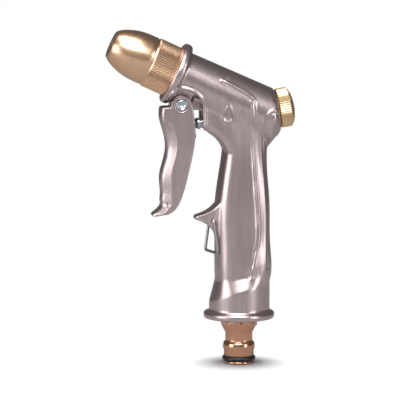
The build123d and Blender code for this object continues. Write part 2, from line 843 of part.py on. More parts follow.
def inlet_strainer():
    """Perforated disc above the inlet gasket."""
    low = TAIL_TOP + 1.4
    disc = rod(UPRIGHT, INLET_THREAD_R - 0.1, low, low + 0.8)
    for count, radius in ((1, 0.0), (6, 2.2), (12, 4.4)):
        for k in range(count):
            x = radius * cos(2 * pi * k / count)
            y = radius * sin(2 * pi * k / count)
            disc -= Pos(x, y, 0) * rod(UPRIGHT, 0.7, low - 1, low + 2)
    return disc


def wire_latch():
    """Bent-wire loop that swings up over the trigger's toe to hold it squeezed."""
    px, _, pz = LATCH_PIVOT
    path = FilletPolyline(
        (px, -LATCH_END, pz),
        (px, -LATCH_HALF, pz),
        (px, -LATCH_HALF, pz - LATCH_LENGTH),
        (px, LATCH_HALF, pz - LATCH_LENGTH),
        (px, LATCH_HALF, pz),
        (px, LATCH_END, pz),
        radius=LATCH_BEND,
    )
    section = Plane(origin=(px, -LATCH_END, pz), z_dir=(0, -1, 0)) * Circle(LATCH_WIRE_R)
    return sweep(section, path=path)


DISC_FACE = SEAT_FACE + 0.03
WASHER_FACE = DISC_FACE + DISC_T
NUT_FACE = WASHER_FACE + WASHER_T

NODES = {
    "gun_body": gun_body(),
    "pivot_pin": pivot_pin(),
    "gland_nut": gland_nut(),
    "gland_o_ring": o_ring(VALVE_AXIS, PLUNGER_R + 1.0, 0.97, (GLAND_REAR + GLAND_STEP) / 2),
    "valve_seat": valve_seat(),
    "bonnet": bonnet(),
    "bonnet_gasket": ring(
        VALVE_AXIS, BONNET_R - 0.1, REAR_CHAMBER_R - 0.6, BONNET_INNER - GASKET_T, BONNET_INNER
    ),
    "outlet_stem": outlet_stem(),
    "stem_gasket": ring(
        NOZZLE_AXIS, STEM_R - 0.2, STEM_THREAD_R, -RECESS_DEPTH, -RECESS_DEPTH + GASKET_T
    ),
    "spray_needle": spray_needle(),
    "inlet_tail": inlet_tail(),
    "inlet_o_ring": o_ring(UPRIGHT, TAIL_RING_R, TAIL_RING_SECTION, TAIL_RING_AT),
    "inlet_gasket": ring(UPRIGHT, INLET_THREAD_R - 0.1, TAIL_BORE_R + 0.4, TAIL_TOP, TAIL_TOP + 1.4),
    "inlet_strainer": inlet_strainer(),
    "trigger": trigger(),
    "valve_plunger": valve_plunger(),
    "valve_disc": ring(VALVE_AXIS, DISC_R, STUD_R + SNUG, DISC_FACE, WASHER_FACE),
    "disc_washer": ring(VALVE_AXIS, DISC_R - 0.4, STUD_R + SNUG, WASHER_FACE, NUT_FACE),
    "disc_nut": VALVE_AXIS
    * Pos(0, 0, NUT_FACE)
    * extrude(RegularPolygon(NUT_FLATS / 2, 6, major_radius=False) - Circle(STUD_R + SNUG), NUT_T),
    "valve_spring": valve_spring(),
    "spring_seat": ring(VALVE_AXIS, 5.6, 1.6, SPRING_SEAT_FRONT, SPRING_SEAT_FRONT + SPRING_SEAT_T),
    "spindle_o_ring": o_ring(VALVE_AXIS, SPINDLE_R - 0.47, 0.49, SPINDLE_RING_AT),
    "flow_spindle": flow_spindle(),
    "flow_knob": flow_knob(),
    "nozzle_o_ring": o_ring(NOZZLE_AXIS, STEM_NOSE_R + 0.96, 0.9, NOZZLE_RING_AT),
    "twist_nozzle": twist_nozzle(),
    "wire_latch": wire_latch(),
}

os.makedirs("parts", exist_ok=True)
for name, shape in NODES.items():
    export_step(shape, f"parts/{name}.step")
    print(name, round(shape.volume, 1), "mm3")
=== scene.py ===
# %% [markdown]
# # Hose spray nozzle
# A metal trigger gun for a garden hose: a nickel-plated zinc casting with brass fittings. The
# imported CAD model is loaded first. Its pieces are the fixed frame, in metres, with +Z up, the
# spray leaving towards -X, and Y across the gun. Everything below is placed from it.

import json
from math import cos, pi, radians, sin

import bmesh
import bpy
import numpy as np
from mathutils import Matrix, Vector


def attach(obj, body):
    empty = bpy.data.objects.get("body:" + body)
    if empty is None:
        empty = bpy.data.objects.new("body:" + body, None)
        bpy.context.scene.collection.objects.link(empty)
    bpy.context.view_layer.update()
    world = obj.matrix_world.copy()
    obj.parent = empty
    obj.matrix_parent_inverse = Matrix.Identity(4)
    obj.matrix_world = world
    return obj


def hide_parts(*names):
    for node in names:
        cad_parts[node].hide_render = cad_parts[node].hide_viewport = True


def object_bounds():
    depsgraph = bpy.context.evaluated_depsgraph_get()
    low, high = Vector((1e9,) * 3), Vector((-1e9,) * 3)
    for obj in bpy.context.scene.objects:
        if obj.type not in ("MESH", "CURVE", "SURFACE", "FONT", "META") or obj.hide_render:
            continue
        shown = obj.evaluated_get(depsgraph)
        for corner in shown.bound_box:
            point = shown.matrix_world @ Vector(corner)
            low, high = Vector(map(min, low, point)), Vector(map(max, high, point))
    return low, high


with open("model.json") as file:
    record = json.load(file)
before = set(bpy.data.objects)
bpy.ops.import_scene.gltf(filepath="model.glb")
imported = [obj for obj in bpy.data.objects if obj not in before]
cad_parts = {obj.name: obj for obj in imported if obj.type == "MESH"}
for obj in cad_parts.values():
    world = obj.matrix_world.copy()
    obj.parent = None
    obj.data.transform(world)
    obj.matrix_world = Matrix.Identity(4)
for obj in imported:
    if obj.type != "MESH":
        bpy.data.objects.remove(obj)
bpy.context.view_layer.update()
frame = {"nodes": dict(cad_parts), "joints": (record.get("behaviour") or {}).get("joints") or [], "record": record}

# %% [markdown]
# ## Units and small helpers
# Workshop drawings are in millimetres, and Blender works in metres, so every size below is
# written in millimetres times MM. One function turns an sRGB hex colour to the linear values
# that shaders use, and one adds a shader node with its settings and links.

# %% Units, colour and node helpers
MM = 0.001
COLOUR_A, COLOUR_B, COLOUR_OUT = 6, 7, 2  # the Mix node's sockets for colours


def linear(hex_colour):
    """Linear RGBA from an sRGB hex colour such as C8A070."""
    values = []
    for k in (0, 2, 4):
        c = int(hex_colour[k : k + 2], 16) / 255
        values.append(c / 12.92 if c <= 0.04045 else ((c + 0.055) / 1.055) ** 2.4)
    return (*values, 1.0)


def add_node(tree, kind, links=None, **settings):
    """Add a node. A setting named after an input fills its socket; any other sets a property."""
    node = tree.nodes.new(kind)
    for name, value in settings.items():
        label = name.replace("_", " ")
        if hasattr(node, name):
            setattr(node, name, value)
        else:
            node.inputs[label].default_value = value
    for socket, source in (links or {}).items():
        tree.links.new(source, node.inputs[socket])
    return node


print("linear mid grey:", [round(v, 3) for v in linear("808080")])

# %% [markdown]
# ## Axes of the gun
# The gun has three working axes. Water leaves along the nozzle axis, tilted up. The valve and
# the rear knob share an axis that rises a little to the rear. The inlet tail stands upright.
# The joints in the frame already hold the first two, so they are read from there and not typed
# in again. A matrix that turns a local Z axis onto each one lets every turned piece be drawn
# upright, as it would sit in a lathe, and then be put in place.

# %% Axes from the joints
joints = {j["name"]: j for j in frame["joints"]}


def axis_place(joint):
    """Matrix that puts local Z on the joint's axis, with Y staying across the gun."""
    up = Vector(joint["axis"]).normalized()
    across = Vector((0, 1, 0))
    side = across.cross(up)
    place = Matrix((side, across, up)).transposed().to_4x4()
    place.translation = Vector(joint["pos_m"])
    return place


nozzle_place = axis_place(joints["nozzle_twist"])
valve_place = axis_place(joints["knob_turn"])
pivot = Vector(joints["trigger_hinge"]["pos_m"])
latch_pivot = Vector(joints["latch_hinge"]["pos_m"])
print("nozzle axis:", [round(v, 3) for v in nozzle_place.col[2][:3]])

# %% [markdown]
# ## Satin nickel on zinc
# The casting and the trigger are die-cast zinc, tumbled, then plated with satin nickel. Plating
# is metal all over, so metallic is 1. Tumbling leaves a soft sheen and a faint orange peel that
# is far wider than deep. A broad noise bends the reflections slightly, and a fine one breaks
# up the gloss. A light brushing before plating leaves thin streaks that run along the grip.

# %% Satin nickel material
STREAK_STRETCH = 0.04  # a streak is this many times thinner than it is long


def metal(name, colour, roughness, peel_mm, peel_depth_mm, mottling, streak_mm=None):
    """Plated or bare metal: broad soft waviness, uneven gloss, and brushed streaks along Z."""
    made = bpy.data.materials.new(name)
    made.use_nodes = True
    tree = made.node_tree
    tree.nodes.clear()
    place = add_node(tree, "ShaderNodeTexCoord")
    broad = add_node(
        tree,
        "ShaderNodeTexNoise",
        {"Vector": place.outputs["Object"]},
        Scale=1 / (peel_mm * MM),
        Detail=2.0,
    )
    fine = add_node(
        tree,
        "ShaderNodeTexNoise",
        {"Vector": place.outputs["Object"]},
        Scale=1 / (0.6 * MM),
        Detail=3.0,
    )
    gloss = add_node(
        tree,
        "ShaderNodeMapRange",
        {"Value": fine.outputs["Fac"]},
        From_Min=0.3,
        From_Max=0.7,
        To_Min=roughness - 0.03,
        To_Max=roughness + 0.04,
    )
    shade = broad.outputs["Fac"]
    if streak_mm:
        stretch = add_node(
            tree,
            "ShaderNodeMapping",
            {"Vector": place.outputs["Object"]},
            Scale=(1.0, 1.0, STREAK_STRETCH),
        )
        streaks = add_node(
            tree,
            "ShaderNodeTexNoise",
            {"Vector": stretch.outputs["Vector"]},
            Scale=1 / (streak_mm * MM),
            Detail=3.0,
        )
        spread = add_node(
            tree,
            "ShaderNodeMapRange",
            {"Value": streaks.outputs["Fac"]},
            From_Min=0.3,
            From_Max=0.7,
        )
        shade = spread.outputs["Result"]
    tint = add_node(tree, "ShaderNodeMix", {0: shade}, data_type="RGBA")
    tint.inputs[COLOUR_A].default_value = linear(colour)
    tint.inputs[COLOUR_B].default_value = [c * (1 - mottling) for c in linear(colour)[:3]] + [1.0]
    bump = add_node(
        tree,
        "ShaderNodeBump",
        {"Height": broad.outputs["Fac"]},
        Strength=1.0,
        Distance=peel_depth_mm * MM,
    )
    surface = add_node(
        tree,
        "ShaderNodeBsdfPrincipled",
        {
            "Base Color": tint.outputs[COLOUR_OUT],
            "Roughness": gloss.outputs["Result"],
            "Normal": bump.outputs["Normal"],
        },
        Metallic=1.0,
    )
    add_node(tree, "ShaderNodeOutputMaterial", {"Surface": surface.outputs["BSDF"]})
    return made


satin_nickel = metal("satin nickel on zinc", "CCBBBB", 0.32, 7.0, 0.02, 0.17, streak_mm=1.1)
print("made", satin_nickel.name)

# %% [markdown]
# ## Brass, steel and rubber
# The nozzle and the knob are turned from brass rod and lacquered, so they are yellower and
# shinier than the casting. The tail is a redder, polished brass. The hidden valve parts are
# plain turned brass. The wire and the rivet are steel. The seal rings are black nitrile rubber,
# which is not a metal and scatters what light it does not absorb.

# %% Other materials
nozzle_brass = metal("lacquered turned brass", "E4BC9C", 0.3, 14.0, 0.008, 0.04)
knob_brass = metal("satin turned brass", "E3C69C", 0.34, 10.0, 0.01, 0.05)
tail_brass = metal("polished red brass", "DAA687", 0.2, 12.0, 0.006, 0.05)
valve_brass = metal("plain turned brass", "C9A45E", 0.35, 6.0, 0.02, 0.1)
rivet_steel = metal("zinc-plated steel", "C4CAD2", 0.28, 3.0, 0.01, 0.08)
wire_steel = metal("drawn steel wire", "B4B0B2", 0.3, 2.0, 0.01, 0.1)


def rubber(name, colour):
    """Moulded nitrile rubber, dull black with a slight bloom."""
    made = bpy.data.materials.new(name)
    made.use_nodes = True
    tree = made.node_tree
    tree.nodes.clear()
    place = add_node(tree, "ShaderNodeTexCoord")
    bloom = add_node(
        tree,
        "ShaderNodeTexNoise",
        {"Vector": place.outputs["Object"]},
        Scale=1 / (2.0 * MM),
        Detail=4.0,
    )
    tone = add_node(tree, "ShaderNodeMix", {0: bloom.outputs["Fac"]}, data_type="RGBA")
    tone.inputs[COLOUR_A].default_value = linear(colour)
    tone.inputs[COLOUR_B].default_value = [c * 2.0 for c in linear(colour)[:3]] + [1.0]
    surface = add_node(
        tree,
        "ShaderNodeBsdfPrincipled",
        {"Base Color": tone.outputs[COLOUR_OUT]},
        Roughness=0.42,
    )
    add_node(tree, "ShaderNodeOutputMaterial", {"Surface": surface.outputs["BSDF"]})
    return made


black_rubber = rubber("black nitrile rubber", "151414")
print("materials:", [m.name for m in bpy.data.materials])

# %% [markdown]
# ## Finishes of the hidden pieces
# The pieces inside the valve keep their CAD shapes, which are right as they are. Each only
# needs a finish. The table goes from a material slot in the record to a material here.

# %% Dress the CAD nodes
finish_of_slot = {
    "satin_nickel": satin_nickel,
    "nozzle_brass": nozzle_brass,
    "tail_brass": tail_brass,
    "valve_brass": valve_brass,
    "stainless": rivet_steel,
    "wire_steel": wire_steel,
    "black_rubber": black_rubber,
}
slot_of_node = {s["node"]: s["material_slot"] for s in frame["record"]["subparts"]}
for node, piece in frame["nodes"].items():
    for own in piece.material_slots:
        own.material = finish_of_slot[slot_of_node[node]]
print("dressed", len(frame["nodes"]), "nodes")

# %% [markdown]
# ## Putting a new piece in the gun
# A new mesh is named, smoothed, given its finish and tied to the body that it moves with, and the
# CAD node it replaces is hidden.

# %% Finish a mesh as a piece
def as_piece(mesh, name, node, finish):
    """Make the mesh an object that replaces a CAD node and rides on its body."""
    piece = bpy.data.objects.new(name, mesh)
    bpy.context.scene.collection.objects.link(piece)
    mesh.materials.clear()
    mesh.materials.append(finish)
    for face in mesh.polygons:
        face.use_smooth = True
    body = next(b for b, ns in frame["record"]["behaviour"]["bodies"].items() if node in ns)
    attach(piece, body)
    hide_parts(node)
    print(name, len(mesh.polygons), "faces")


# %% [markdown]
# ## Meshes as arrays
# Sculpting a whole skin is quickest with arrays: read every vertex at once, move them by a
# formula, and write them back. Smoothing goes through bmesh instead, because it needs to know
# each vertex's neighbours.

# %% Mesh helpers
def to_arrays(mesh):
    """Vertex places and normals of a mesh as arrays, in metres."""
    count = len(mesh.vertices)
    places = np.empty(count * 3)
    mesh.vertices.foreach_get("co", places)
    normals = np.empty(count * 3)
    mesh.vertex_normals.foreach_get("vector", normals)
    return places.reshape(-1, 3), normals.reshape(-1, 3)


def write_places(mesh, places):
    """Write moved vertex places back to the mesh."""
    mesh.vertices.foreach_set("co", places.ravel())
    mesh.update()


def smooth(mesh, rounds, chosen=None):
    """Even out the vertices with the given numbers, or all of them."""
    bm = bmesh.new()
    bm.from_mesh(mesh)
    bm.verts.ensure_lookup_table()
    verts = bm.verts if chosen is None else [bm.verts[k] for k in chosen]
    for _ in range(rounds):
        bmesh.ops.smooth_vert(
            bm, verts=verts, factor=0.5, use_axis_x=True, use_axis_y=True, use_axis_z=True
        )
    bm.to_mesh(mesh)
    bm.free()
    mesh.update()


print("mesh helpers ready")

# %% [markdown]
# ## From CAD mesh to cast metal
# A die casting has no sharp outside edges: the tool has small radii everywhere, and tumbling
# rounds them further. The CAD casting is a union of a cone, an oval grip and a round foot, with
# hard seams between them. Bevelling such seams one by one is fragile. A voxel remesh of a copy
# gives an even skin of small quads instead, and a few rounds of smoothing melt the seams just as
# the foundry's fillets do.

# %% Remesh a copy of a CAD node
def cast_copy(node, voxel_mm, rounds):
    """Mesh of the node's copy, remeshed evenly and smoothed."""
    bm = bmesh.new()
    bm.from_mesh(frame["nodes"][node].data)
    bmesh.ops.remove_doubles(bm, verts=bm.verts, dist=0.002 * MM)
    rough = bpy.data.meshes.new(node + "_copy")
    bm.to_mesh(rough)
    bm.free()
    holder = bpy.data.objects.new(node + "_copy", rough)
    bpy.context.scene.collection.objects.link(holder)
    remesh = holder.modifiers.new("even skin", "REMESH")
    remesh.mode = "VOXEL"
    remesh.voxel_size = voxel_mm * MM
    even = bpy.data.meshes.new_from_object(
        holder.evaluated_get(bpy.context.evaluated_depsgraph_get())
    )
    bpy.data.objects.remove(holder)
    smooth(even, rounds)
    return even


casting_mesh = cast_copy("gun_body", voxel_mm=0.5, rounds=6)
print("casting quads:", len(casting_mesh.polygons))

# %% [markdown]
# ## Guide lines on the side
# The sides of the casting carry sculpted lines: a rolled lip round the trigger opening, two
# creases that run down the grip and a small raised drop. They are less than a millimetre high,
# but satin metal shows every change of slope. Each is drawn as a guide line on the side of the
# gun, and the skin is pushed along its own normal by an amount that fades with the distance from
# the guide.

# %% Helpers for lines on the side
def distance_to_line(places, line):
    """Signed distance in mm to a guide line of (x, z) points seen from the side, left positive."""
    spots = places[:, [0, 2]] / MM
    best = np.full(len(spots), 1e9)
    for (ax, az), (bx, bz) in zip(line, line[1:]):
        along = np.array([bx - ax, bz - az])
        offset = spots - [ax, az]
        t = np.clip(offset @ along / (along @ along), 0, 1)
        gap = np.linalg.norm(offset - t[:, None] * along, axis=1)
        side = np.where(along[0] * offset[:, 1] - along[1] * offset[:, 0] > 0, 1.0, -1.0)
        best = np.where(gap < np.abs(best), gap * side, best)
    return best


def smooth_line(corners, per_span=6):
    """Catmull-Rom line through a few corners, so that a guide bends softly."""
    ends = [corners[0], *corners, corners[-1]]
    line = []
    for k in range(1, len(ends) - 2):
        p0, p1, p2, p3 = (np.array(ends[k + n], float) for n in (-1, 0, 1, 2))
        for step in range(per_span):
            t = step / per_span
            bend = (2 * p0 - 5 * p1 + 4 * p2 - p3) * t**2 + (3 * p1 - p0 - 3 * p2 + p3) * t**3
            line.append(0.5 * (2 * p1 + (p2 - p0) * t + bend))
    line.append(np.array(corners[-1], float))
    return line


def bump_line(distance, height, width, at):
    """A rounded ridge, or a groove if the height is negative, in mm."""
    return height * np.exp(-(((distance - at) / width) ** 2))


lip_corners = [(-36.5, 136.5), (-31.5, 140.3), (-26.0, 139.4), (-22.3, 137.2), (-20.0, 133.2)]
lip_corners += [(-19.2, 127.6), (-19.1, 121.0), (-19.6, 118.6)]
front_corners = [(-9.9, 144.1), (3.6, 136.4), (5.3, 130.5), (5.4, 116.0)]
front_corners += [(6.5, 97.5), (8.0, 74.0), (7.4, 62.0), (4.0, 45.5)]
rear_corners = [(18.4, 127.4), (15.6, 128.8), (12.2, 125.6), (10.4, 119.5)]
rear_corners += [(10.6, 107.0), (12.2, 90.0), (13.1, 73.0), (12.6, 50.0)]
opening_lip = smooth_line(lip_corners)
front_crease = smooth_line(front_corners)
rear_crease = smooth_line(rear_corners)
drop_corners = [(-6.9, 132.0), (-4.9, 128.4), (-4.3, 126.0), (-5.2, 124.0), (-6.9, 123.2)]
drop_corners += [(-8.6, 124.0), (-9.5, 126.0), (-8.9, 128.4), (-6.9, 132.0)]
drop = smooth_line(drop_corners)
print("guide points:", len(opening_lip), len(front_crease), len(rear_crease), len(drop))

# %% [markdown]
# ## Shoulder above the foot
# The oval grip is slimmer than the round foot. Between them a sloping shoulder sweeps up to the
# rear, with a crisp edge below and above. It is a ruled surface: at each angle round the foot
# the radius runs straight from the foot's, at the lower edge, to the grip's, at the upper one.

# %% Rule the shoulder
FOOT_RADIUS = 15.4
SKIN_RADIUS = 10.5  # nothing inside the casting reaches this far out
SHOULDER_X = (-15.4, -9.0, 3.0, 8.0, 12.5, 15.2)
SHOULDER_LOW = (32.0, 36.0, 39.0, 40.7, 44.3, 48.6)
SHOULDER_HIGH = (42.5, 43.8, 45.6, 46.8, 48.6, 50.0)
SHOULDER_END = 14.6  # the shoulder has run out this far back
SHOULDER_RUN_OUT = 1.5
SAMPLE = 0.6  # half height of the band in which an edge's radius is read
EDGE = 1.0  # the smoothing reaches this far past the shoulder
EDGE_ROUNDS = 4
ABOVE = 3.0  # the grip's own shape is taken this far above the shoulder's upper edge
places, normals = to_arrays(casting_mesh)
turn = np.arctan2(places[:, 1], places[:, 0])
radius = np.hypot(places[:, 0], places[:, 1]) / MM
height = places[:, 2] / MM
skin = radius > SKIN_RADIUS
ahead = FOOT_RADIUS * np.cos(turn)
low = np.interp(ahead, SHOULDER_X, SHOULDER_LOW)
high = np.interp(ahead, SHOULDER_X, SHOULDER_HIGH)


def edge_radius(level):
    """Radius of the skin along an edge of the shoulder, at each vertex's own angle."""
    near = skin & (np.abs(height - level) < SAMPLE)
    return np.interp(turn, turn[near], radius[near], period=2 * pi)


share = np.clip((height - low) / (high - low), 0, 1)
ruled = (1 - share) * edge_radius(low) + share * edge_radius(high + ABOVE)
rear_fade = np.clip((SHOULDER_END - ahead) / SHOULDER_RUN_OUT, 0, 1)
ruled = radius + (ruled - radius) * rear_fade
inside = skin & (share > 0) & (height < high + ABOVE)
places[inside, :2] *= (ruled / radius)[inside, None]
write_places(casting_mesh, places)
edged = skin & (height > low - EDGE) & (height < high + ABOVE + EDGE)
smooth(casting_mesh, EDGE_ROUNDS, np.flatnonzero(edged))
print("shoulder vertices:", inside.sum())

# %% [markdown]
# ## Ridges along the guide lines
# Each line is a few rounded ridges or grooves side by side, given as height, width and offset
# from the guide in mm. Only the sides of the gun take them: they fade out towards the middle
# plane and where the skin faces away from the side.

# %% Press the lines into the casting
LIP_RIDGES = ((0.75, 0.85, 0.55), (-0.4, 0.6, 1.9))
CREASE_RIDGES = ((0.28, 0.7, 0.75), (-0.36, 0.55, -0.4))
DROP_RIDGES = ((0.4, 0.55, 0.0),)
SIDE_FROM = 8.2
SIDE_FADE = 0.8
places, normals = to_arrays(casting_mesh)
half_width = np.abs(places[:, 1]) / MM
facing_side = np.clip(np.abs(normals[:, 1]) * 2, 0, 1)
outside = np.clip((half_width - SIDE_FROM) / SIDE_FADE, 0, 1) * facing_side
lip_gap = distance_to_line(places, opening_lip)
front_gap = distance_to_line(places, front_crease)
rear_gap = -distance_to_line(places, rear_crease)
drop_gap = distance_to_line(places, drop)
push = np.zeros(len(places))
for gap, ridges in (
    (lip_gap, LIP_RIDGES),
    (front_gap, CREASE_RIDGES),
    (rear_gap, CREASE_RIDGES),
    (drop_gap, DROP_RIDGES),
):
    for ridge_height, ridge_width, ridge_at in ridges:
        push += bump_line(gap, ridge_height, ridge_width, ridge_at) * outside
places += normals * (push * MM)[:, None]
write_places(casting_mesh, places)
as_piece(casting_mesh, "casting", "gun_body", satin_nickel)

# %% [markdown]
# ## Trigger
# The trigger is a second zinc casting, a channel that is open behind. It gets the same cast
# skin, on a finer mesh because its wall is thin. Both sides slope in towards a narrow front
# ridge, up to just below the ears, and the toe ends in a small forward hook. The slopes are made
# by narrowing the channel in proportion to how near the skin is to the front edge.

# %% Trigger
HOOK_FROM_X = -37.5  # only the skin in front of this takes part in the hook
HOLLOW = (0.9, 2.0, 81.5)  # depth, width and height above the ground of the hollow over the toe
HOOK = (-1.3, 1.7, 76.8)  # the same for the hook itself, which goes forward
TOE_BOTTOM = 77.0
EAR_BOTTOM = 124.0
EAR_FADE = 5.0
FRONT_BEVEL = 5.5  # width of the slope along each side of the front ridge
FRONT_TAPER = 0.42  # share of the width that the slopes take away at the ridge
trigger_mesh = cast_copy("trigger", voxel_mm=0.34, rounds=5)
places, normals = to_arrays(trigger_mesh)
height = places[:, 2] / MM
front = places[:, 0] / MM < HOOK_FROM_X
places[:, 0] += front * (bump_line(height, *HOLLOW) + bump_line(height, *HOOK)) * MM
levels = np.arange(TOE_BOTTOM, EAR_BOTTOM, 1.0)
edge_x = [places[np.abs(height - level) < SAMPLE, 0].min() / MM for level in levels]
behind = places[:, 0] / MM - np.interp(height, levels, edge_x)
below_ears = np.clip((EAR_BOTTOM - height) / EAR_FADE, 0, 1)
places[:, 1] *= 1 - FRONT_TAPER * np.clip(1 - behind / FRONT_BEVEL, 0, 1) * below_ears
write_places(trigger_mesh, places)
as_piece(trigger_mesh, "trigger_lever", "trigger", satin_nickel)

# %% [markdown]
# ## Wire loop
# The loop on the finger rest is bent by hand from spring wire, so it never hangs quite square.
# A copy of the CAD loop is twisted a little, more towards its lower end.

# %% Wire loop
LOOP_TWIST = radians(16)
LOOP_DROP = 15.0  # the full twist is reached this far below the pivot
loop_mesh = frame["nodes"]["wire_latch"].data.copy()
places, normals = to_arrays(loop_mesh)
middle = places[:, 0].mean()
twist = np.clip((latch_pivot.z - places[:, 2]) / MM / LOOP_DROP, 0, 1) * LOOP_TWIST
sideways = places[:, 0] - middle
across = places[:, 1].copy()
places[:, 0] = middle + sideways * np.cos(twist) - across * np.sin(twist)
places[:, 1] = across * np.cos(twist) + sideways * np.sin(twist)
write_places(loop_mesh, places)
as_piece(loop_mesh, "wire_loop", "wire_latch", wire_steel)

# %% [markdown]
# ## Turned pieces
# Everything brass on this gun was cut on a lathe, so each piece is an outline of radius against
# distance, spun round its axis. The spin is closed by merging its last step with its first.

# %% Spin an outline
def turned(outline, steps, place=None):
    """Bmesh of a closed (radius, distance) outline in mm, spun round Z and put in place."""
    bm = bmesh.new()
    ring = [bm.verts.new((r * MM, 0, z * MM)) for r, z in outline]
    edges = [bm.edges.new(pair) for pair in zip(ring, ring[1:] + ring[:1])]
    bmesh.ops.spin(
        bm,
        geom=ring + edges,
        cent=(0, 0, 0),
        axis=(0, 0, 1),
        dvec=(0, 0, 0),
        angle=2 * pi,
        steps=steps,
        use_merge=True,
        use_normal_flip=False,
        use_duplicate=False,
    )
    bmesh.ops.remove_doubles(bm, verts=bm.verts, dist=0.001 * MM)
    bmesh.ops.recalc_face_normals(bm, faces=bm.faces)
    if place:
        bmesh.ops.transform(bm, matrix=place, verts=bm.verts)
    return bm


def to_mesh(bm, name):
    """Mesh from a bmesh, which is freed."""
    mesh = bpy.data.meshes.new(name)
    bm.to_mesh(mesh)
    bm.free()
    return mesh


def arc(cx, cz, radius, start, end, points):
    """Points of a round stretch of an outline, angles in degrees."""
    turns = [radians(start + (end - start) * k / (points - 1)) for k in range(points)]
    return [(cx + radius * cos(a), cz + radius * sin(a)) for a in turns]


print("arc test:", [round(v, 2) for v in arc(0, 0, 1, 0, 90, 3)[1]])

# %% [markdown]
# ## Straight knurling
# The grip bands are straight knurling: fine vee grooves along the axis, rolled in by a toothed
# wheel. The spin gets two steps for each tooth, and every other column of vertices in the band
# is drawn in by the depth of a groove. The grooves keep flat facets, so each catches the light.

# %% Knurl a band
def knurl(bm, low_mm, high_mm, depth_mm, teeth, over_r_mm):
    """Draw in every other column between two heights, before the piece is put in place."""
    for vert in bm.verts:
        radius = Vector((vert.co.x, vert.co.y)).length
        if low_mm * MM < vert.co.z < high_mm * MM and radius > over_r_mm * MM:
            turn = np.arctan2(vert.co.y, vert.co.x) / (2 * pi) * teeth * 2
            if int(round(turn)) % 2:
                shrink = (radius - depth_mm * MM) / radius
                vert.co.x *= shrink
                vert.co.y *= shrink


def flat_faces(mesh, place, low_mm, high_mm, over_r_mm):
    """Give the faces of a knurled band flat shading."""
    back = place.inverted()
    for face in mesh.polygons:
        spot = back @ face.center
        radius = Vector((spot.x, spot.y)).length
        if low_mm * MM < spot.z < high_mm * MM and radius > over_r_mm * MM:
            face.use_smooth = False


print("knurling helpers ready")

# %% [markdown]
# ## Twist nozzle
# A knurled band for the fingers runs into a smooth polished shoulder that closes to a small flat
# tip. The tip has a funnel with the orifice at its bottom. A fine bright chamfer parts the
# knurling from the shoulder.

# %% Twist nozzle
BAND_REAR = -1.3
BAND_FRONT = 12.2
NOZZLE_TIP = 33.7
NOZZLE_TEETH = 72
NOZZLE_KNURL_DEPTH = 0.3
BAND_INSET = 0.5  # the knurling stops this far short of each end of the band
BAND_OVER_R = 12.0  # only vertices further out than this are knurled
shoulder = [(12.5, 13.2), (12.5, 15.4), (12.45, 17.6), (12.3, 19.8), (12.05, 21.8), (11.6, 24.0)]
shoulder += [(11.0, 26.0), (10.2, 28.2), (9.3, 30.2), (8.2, 32.0), (7.2, 33.2), (6.6, NOZZLE_TIP)]
nozzle_outline = [
    (8.06, BAND_REAR),
    (12.1, BAND_REAR),
    (12.85, BAND_REAR + 0.7),
    (12.85, BAND_FRONT - 0.7),
    (12.35, BAND_FRONT),
    (12.2, BAND_FRONT + 0.4),
    *shoulder,
    (5.0, NOZZLE_TIP),
    (4.5, NOZZLE_TIP - 0.3),
    (2.2, 32.2),
    (2.2, 30.5),
    (7.2, 26.0),
    (7.2, 16.0),
    (6.06, 16.0),
    (6.06, 15.3),
    (7.9, 15.3),
    (7.9, 13.1),
    (6.06, 13.1),
    (6.06, 12.3),
    (8.06, 12.3),
]
nozzle_bm = turned(nozzle_outline, 2 * NOZZLE_TEETH)
knurl(
    nozzle_bm,
    BAND_REAR + BAND_INSET,
    BAND_FRONT - BAND_INSET,
    NOZZLE_KNURL_DEPTH,
    NOZZLE_TEETH,
    BAND_OVER_R,
)
bmesh.ops.transform(nozzle_bm, matrix=nozzle_place, verts=nozzle_bm.verts)
nozzle_mesh = to_mesh(nozzle_bm, "nozzle_mesh")
as_piece(nozzle_mesh, "spray_nozzle", "twist_nozzle", nozzle_brass)
flat_faces(nozzle_mesh, nozzle_place, BAND_REAR, BAND_FRONT + 0.1, 11.5)

# %% [markdown]
# ## Flow knob
# The rear knob is a short knurled drum with a domed end, on the valve axis.

# %% Flow knob
KNOB_TEETH = 56
KNOB_KNURL_DEPTH = 0.28
KNOB_BAND = (0.9, 6.1)
KNOB_OVER_R = 9.7
dome = [(9.2, 6.75), (8.2, 7.35), (6.6, 8.0), (4.6, 8.45), (2.4, 8.65), (0.0, 8.7)]
knob_outline = [(0.0, 4.55), (3.03, 4.55), (3.03, 0.5), (9.4, 0.5)]
knob_outline += [(9.95, 1.0), (9.95, 6.0), (9.6, 6.5), *dome]
knob_bm = turned(knob_outline, 2 * KNOB_TEETH)
knurl(knob_bm, *KNOB_BAND, KNOB_KNURL_DEPTH, KNOB_TEETH, KNOB_OVER_R)
bmesh.ops.transform(knob_bm, matrix=valve_place, verts=knob_bm.verts)
knob_mesh = to_mesh(knob_bm, "knob_mesh")
as_piece(knob_mesh, "rear_knob", "flow_knob", knob_brass)
flat_faces(knob_mesh, valve_place, 0.4, 6.4, 9.3)

# %% [markdown]
# ## Inlet tail and seal ring
# The tail plugs into a hose socket. Going up there is a nose, a groove with the black ring, a
# plain band, a lip that the socket's balls catch behind, a neck, a cone and an octagonal collar
# for a spanner. The collar is an eight-sided disc, extruded and bevelled.

